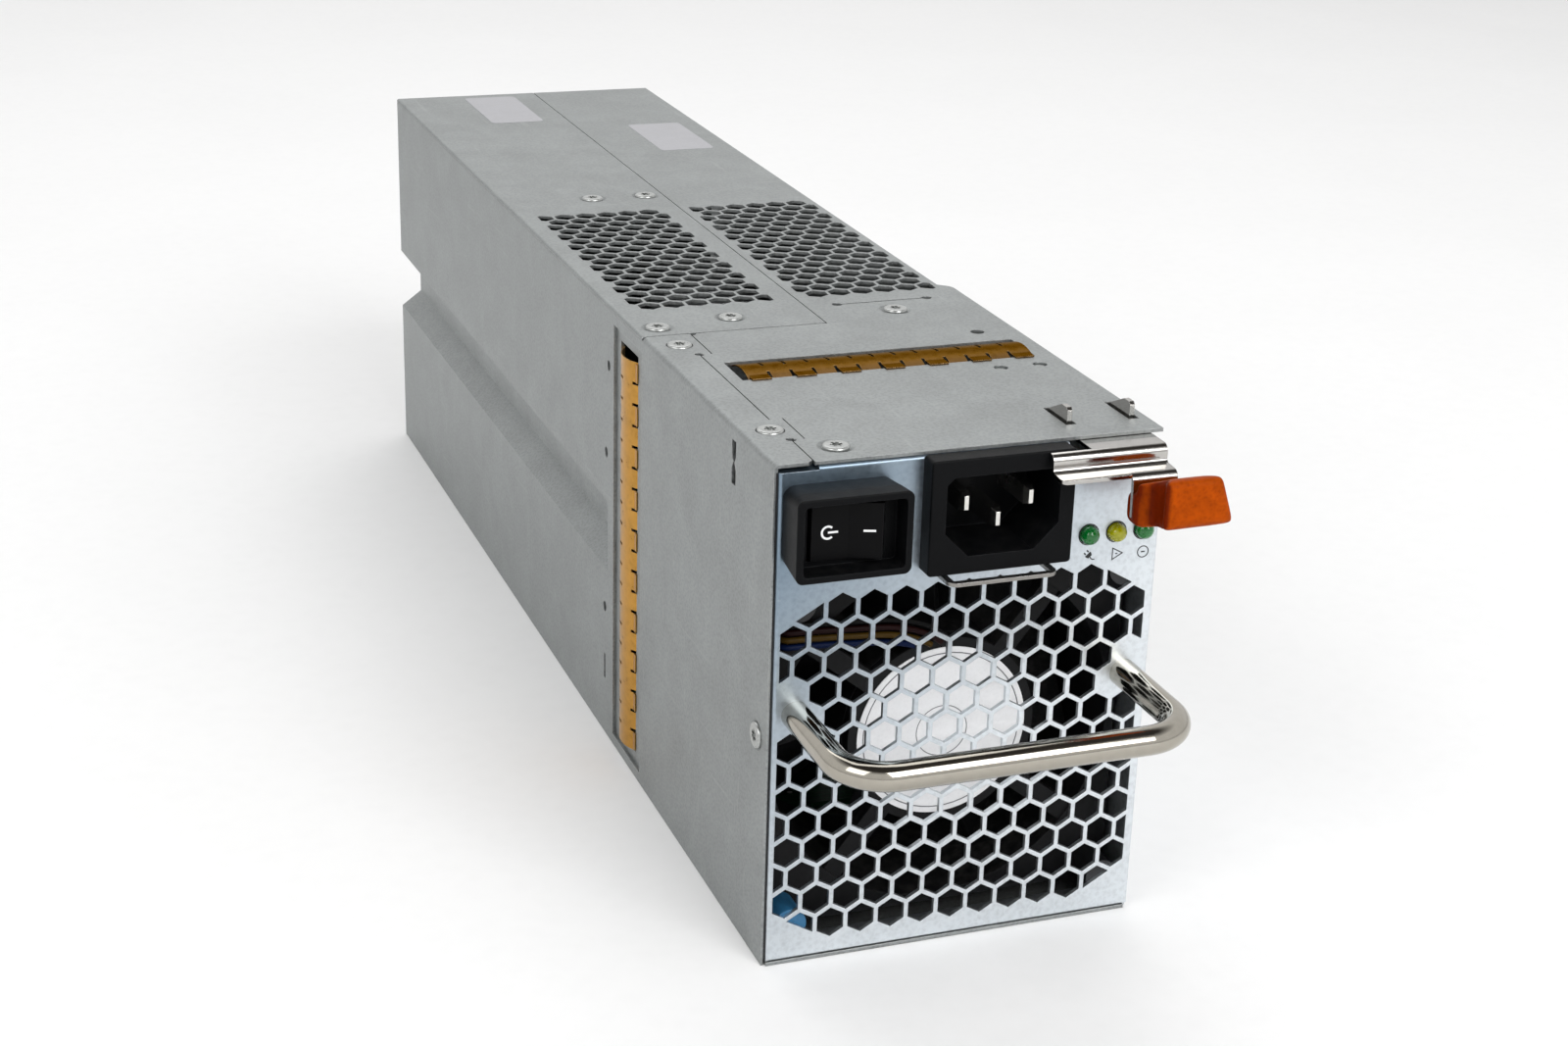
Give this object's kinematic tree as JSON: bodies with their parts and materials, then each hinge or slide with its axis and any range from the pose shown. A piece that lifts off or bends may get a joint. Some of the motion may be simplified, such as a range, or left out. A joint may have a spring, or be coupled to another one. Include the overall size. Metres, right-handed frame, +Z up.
{
  "type": "hot swap server power supply",
  "caption": "Slide-in server power supply: a steel case with a fan behind a honeycomb grille, mains inlet, guarded switch, pull handle and spring latch.",
  "frame": {"origin": "centre of the case's underside: midway between the nose's side walls and midway between the front and rear plates, at the tray's lower face", "axes": "+X to the right seen from the front, +Y from the front plate towards the rear connector, +Z up"},
  "size_m": [0.0884, 0.39, 0.1132],
  "materials": {
    "zinc_steel": "bright zinc-plated sheet, faint rolling grain",
    "zinc_plate": "bright zinc-plated front plate",
    "screw_steel": "zinc-plated screws",
    "nickel": "polished nickel plate",
    "spring_steel": "bright nickel-plated spring steel",
    "gasket_copper": "bare spring bronze fingers",
    "gasket_gold": "bright spring bronze fingers",
    "foam_black": "black conductive foam",
    "black_plastic": "fine-grained black moulding",
    "rocker_black": "smooth black moulding",
    "fan_plastic": "black glass-filled moulding",
    "label_film": "bare pale film",
    "grip_orange": "slightly clear orange moulding",
    "lens_green": "clear green lens",
    "lens_amber": "clear yellow-amber lens",
    "blue_silicone": "soft blue silicone",
    "lead_insulation": "coloured lead insulation",
    "board_green": "solder-masked board",
    "insulator": "thin insulating film",
    "brass_posts": "turned posts",
    "capacitor_sleeve": "dark sleeve over an aluminium can",
    "box_capacitor": "yellow moulded case",
    "copper_coil": "enamelled copper winding",
    "ferrite": "dark ferrite and taped winding",
    "heatsink": "bare extruded aluminium",
    "fuse_glass": "cartridge fuse",
    "tin_blades": "tinned brass"
  },
  "bodies": {
    "chassis": {"base_tray": "zinc_steel", "left_side_panel": "zinc_steel", "top_cover_left": "zinc_steel", "top_cover_right": "zinc_steel", "front_panel": "zinc_plate", "rear_panel": "zinc_steel", "gasket_carrier": "zinc_steel", "top_gasket": "gasket_copper", "side_gasket": "gasket_gold", "edge_gasket": "foam_black", "cover_screws": "screw_steel", "side_screws": "screw_steel", "handle": "nickel", "handle_screws": "screw_steel", "cord_retainer_loop": "nickel", "switch_bezel": "black_plastic", "switch_body": "black_plastic", "rocker_pin": "screw_steel", "inlet_housing": "black_plastic", "inlet_pins": "tin_blades", "light_pipe_input": "lens_green", "light_pipe_fault": "lens_amber", "light_pipe_output": "lens_green", "light_board": "board_green", "latch_mount": "zinc_steel", "latch_rivets": "screw_steel", "fan_frame": "fan_plastic", "fan_stator": "copper_coil", "fan_label": "label_film", "fan_mount_pins": "blue_silicone", "fan_lead": "lead_insulation", "main_board": "board_green", "board_standoffs": "brass_posts", "board_screws": "screw_steel", "insulator_sheet": "insulator", "bulk_capacitors": "capacitor_sleeve", "output_capacitors": "capacitor_sleeve", "filter_chokes": "copper_coil", "pfc_choke": "copper_coil", "x_capacitors": "box_capacitor", "main_transformer": "ferrite", "primary_heatsink": "heatsink", "rectifier_heatsink": "heatsink", "output_chokes": "copper_coil", "control_board": "board_green", "standby_transformer": "ferrite", "fuse_link": "fuse_glass", "output_connector": "black_plastic", "output_contacts": "tin_blades", "live_wire": "lead_insulation", "neutral_wire": "lead_insulation", "earth_wire": "lead_insulation"},
    "rocker": {"rocker": "rocker_black"},
    "fan_rotor": {"fan_rotor": "fan_plastic", "fan_shaft": "screw_steel"},
    "latch": {"latch_leaf": "spring_steel", "latch_grip": "grip_orange"}
  },
  "joints": [
    {"name": "rocker_tilt", "type": "hinge", "parent": "chassis", "child": "rocker", "pos_m": [-0.0289, -0.1779, 0.0975], "axis": [0, 0, 1], "range_deg": [0, 18]},
    {"name": "fan_spin", "type": "hinge", "parent": "chassis", "child": "fan_rotor", "pos_m": [0, -0.1465, 0.044], "axis": [0, 1, 0], "continuous": true},
    {"name": "latch_press", "type": "hinge", "parent": "chassis", "child": "latch", "pos_m": [0.0308, -0.1305, 0.1087], "axis": [1, 0, 0], "range_deg": [0, 6], "stiffness_Nm_per_rad": 8}
  ]
}
